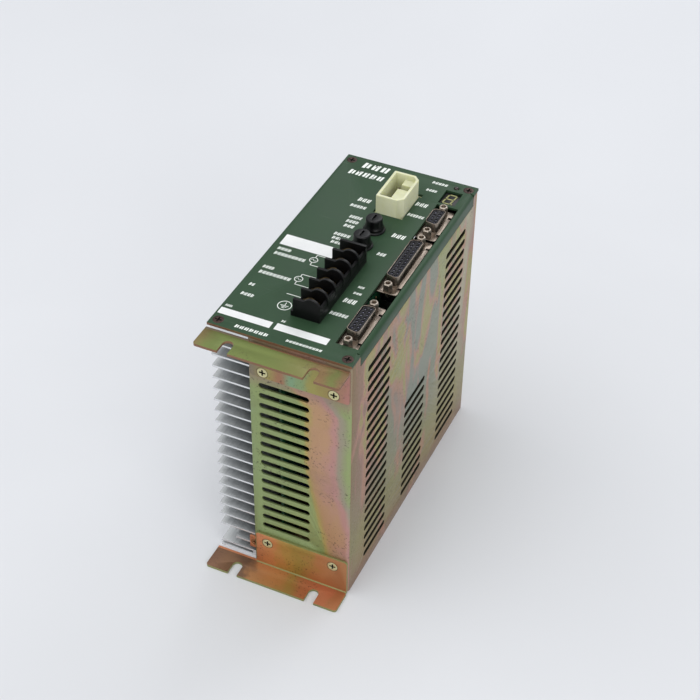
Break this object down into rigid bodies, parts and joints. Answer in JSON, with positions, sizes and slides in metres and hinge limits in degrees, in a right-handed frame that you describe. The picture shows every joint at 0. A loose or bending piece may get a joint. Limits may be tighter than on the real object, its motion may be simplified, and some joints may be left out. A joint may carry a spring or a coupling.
{
  "type": "servo drive",
  "caption": "Upright servo drive: flat green front panel with ports, fuses and terminals, vented plated sheet-metal cover, side heatsink and two notched end brackets.",
  "frame": {"origin": "middle of the case on the rear mounting plane, at the mount rear_face", "axes": "+Z out of the front panel, +Y along the panel towards the display, +X across the panel towards the signal ports"},
  "size_m": [0.085, 0.1995, 0.1878],
  "materials": {
    "panel_paint": "dark green satin paint",
    "cover_zinc": "yellow chromate zinc plate",
    "bracket_zinc": "yellow chromate zinc plate, mottled",
    "bare_aluminium": "mill finish extrusion",
    "dark_screw": "dark chromate",
    "zinc_screw": "yellow chromate",
    "nut_steel": "bright zinc",
    "black_phenolic": "moulded, soft gloss",
    "black_nylon": "moulded",
    "ivory_nylon": "translucent moulded nylon",
    "brass_plate": "plated brass",
    "contact_bronze": "tarnished",
    "port_shell": "tin plate",
    "port_contact": "tin plate",
    "jack_nickel": "nickel plate",
    "fuse_glass": "glass tube with metal caps",
    "display_face": "black moulded face",
    "display_bar": "unlit pale bars",
    "lamp_lens": "dark red lens",
    "board_laminate": "solder-masked laminate",
    "chip_resin": "moulded resin",
    "capacitor_sleeve": "shrink sleeve",
    "choke_copper": "enamelled copper winding",
    "relay_case": "moulded case"
  },
  "bodies": {
    "root": {"front_panel": "panel_paint", "cover": "cover_zinc", "rear_plate": "bracket_zinc", "heatsink": "bare_aluminium", "bracket_lower": "bracket_zinc", "bracket_upper": "bracket_zinc", "panel_screws": "dark_screw", "bracket_screws": "zinc_screw", "rear_plate_screws": "zinc_screw", "ear_screws": "zinc_screw", "clinch_nuts": "nut_steel", "terminal_block": "black_phenolic", "terminal_plates": "brass_plate", "fuse_holder_1": "black_nylon", "fuse_holder_2": "black_nylon", "fuse_nuts": "black_nylon", "motor_shroud": "ivory_nylon", "motor_contacts": "contact_bronze", "sensor_port_shell": "port_shell", "sensor_port_insert": "black_nylon", "sensor_port_contacts": "port_contact", "io_port_shell": "port_shell", "io_port_insert": "black_nylon", "io_port_contacts": "port_contact", "serial_port_shell": "port_shell", "serial_port_insert": "black_nylon", "serial_port_contacts": "port_contact", "jack_sockets": "jack_nickel", "digit_display": "display_face", "digit_segments": "display_bar", "power_led": "lamp_lens", "check_pins": "brass_plate", "control_board": "board_laminate", "control_chips": "chip_resin", "power_board": "board_laminate", "board_posts": "brass_plate", "board_screws": "nut_steel", "power_module": "chip_resin", "rectifier": "chip_resin", "bulk_capacitors": "capacitor_sleeve", "filter_choke": "choke_copper", "control_relay": "relay_case"},
    "fuse_link_1": {"fuse_link_1": "fuse_glass"},
    "fuse_cap_1": {"fuse_cap_1": "black_nylon"},
    "fuse_link_2": {"fuse_link_2": "fuse_glass"},
    "fuse_cap_2": {"fuse_cap_2": "black_nylon"},
    "terminal_washer_1": {"terminal_washer_1": "brass_plate"},
    "terminal_screw_1": {"terminal_screw_1": "brass_plate"},
    "terminal_washer_2": {"terminal_washer_2": "brass_plate"},
    "terminal_screw_2": {"terminal_screw_2": "brass_plate"},
    "terminal_washer_3": {"terminal_washer_3": "brass_plate"},
    "terminal_screw_3": {"terminal_screw_3": "brass_plate"},
    "terminal_washer_4": {"terminal_washer_4": "brass_plate"},
    "terminal_screw_4": {"terminal_screw_4": "brass_plate"},
    "terminal_washer_5": {"terminal_washer_5": "brass_plate"},
    "terminal_screw_5": {"terminal_screw_5": "brass_plate"},
    "terminal_washer_6": {"terminal_washer_6": "brass_plate"},
    "terminal_screw_6": {"terminal_screw_6": "brass_plate"}
  },
  "joints": [
    {"name": "fuse_pull_1", "type": "slide", "parent": "root", "child": "fuse_link_1", "axis": [0, 0, 1], "range_m": [0, 0.032]},
    {"name": "fuse_cap_turn_1", "type": "hinge", "parent": "fuse_link_1", "child": "fuse_cap_1", "pos_m": [0.0035, 0.0249, 0.174], "axis": [0, 0, 1], "range_deg": [0, 90]},
    {"name": "fuse_pull_2", "type": "slide", "parent": "root", "child": "fuse_link_2", "axis": [0, 0, 1], "range_m": [0, 0.032]},
    {"name": "fuse_cap_turn_2", "type": "hinge", "parent": "fuse_link_2", "child": "fuse_cap_2", "pos_m": [0.0035, 0.008, 0.174], "axis": [0, 0, 1], "range_deg": [0, 90]},
    {"name": "terminal_lift_1", "type": "slide", "parent": "root", "child": "terminal_washer_1", "axis": [0, 0, 1], "range_m": [0, 0.003]},
    {"name": "terminal_turn_1", "type": "hinge", "parent": "terminal_washer_1", "child": "terminal_screw_1", "pos_m": [0.0037, -0.05975, 0.18], "axis": [0, 0, 1], "range_deg": [0, 1800]},
    {"name": "terminal_lift_2", "type": "slide", "parent": "root", "child": "terminal_washer_2", "axis": [0, 0, 1], "range_m": [0, 0.003]},
    {"name": "terminal_turn_2", "type": "hinge", "parent": "terminal_washer_2", "child": "terminal_screw_2", "pos_m": [0.0037, -0.04995, 0.18], "axis": [0, 0, 1], "range_deg": [0, 1800]},
    {"name": "terminal_lift_3", "type": "slide", "parent": "root", "child": "terminal_washer_3", "axis": [0, 0, 1], "range_m": [0, 0.003]},
    {"name": "terminal_turn_3", "type": "hinge", "parent": "terminal_washer_3", "child": "terminal_screw_3", "pos_m": [0.0037, -0.04015, 0.18], "axis": [0, 0, 1], "range_deg": [0, 1800]},
    {"name": "terminal_lift_4", "type": "slide", "parent": "root", "child": "terminal_washer_4", "axis": [0, 0, 1], "range_m": [0, 0.003]},
    {"name": "terminal_turn_4", "type": "hinge", "parent": "terminal_washer_4", "child": "terminal_screw_4", "pos_m": [0.0037, -0.03035, 0.18], "axis": [0, 0, 1], "range_deg": [0, 1800]},
    {"name": "terminal_lift_5", "type": "slide", "parent": "root", "child": "terminal_washer_5", "axis": [0, 0, 1], "range_m": [0, 0.003]},
    {"name": "terminal_turn_5", "type": "hinge", "parent": "terminal_washer_5", "child": "terminal_screw_5", "pos_m": [0.0037, -0.02055, 0.18], "axis": [0, 0, 1], "range_deg": [0, 1800]},
    {"name": "terminal_lift_6", "type": "slide", "parent": "root", "child": "terminal_washer_6", "axis": [0, 0, 1], "range_m": [0, 0.003]},
    {"name": "terminal_turn_6", "type": "hinge", "parent": "terminal_washer_6", "child": "terminal_screw_6", "pos_m": [0.0037, -0.01075, 0.18], "axis": [0, 0, 1], "range_deg": [0, 1800]}
  ],
  "couplings": [
    {"joint": "terminal_turn_1", "follows": "terminal_lift_1", "rad_per_m": 10472},
    {"joint": "terminal_turn_2", "follows": "terminal_lift_2", "rad_per_m": 10472},
    {"joint": "terminal_turn_3", "follows": "terminal_lift_3", "rad_per_m": 10472},
    {"joint": "terminal_turn_4", "follows": "terminal_lift_4", "rad_per_m": 10472},
    {"joint": "terminal_turn_5", "follows": "terminal_lift_5", "rad_per_m": 10472},
    {"joint": "terminal_turn_6", "follows": "terminal_lift_6", "rad_per_m": 10472}
  ]
}
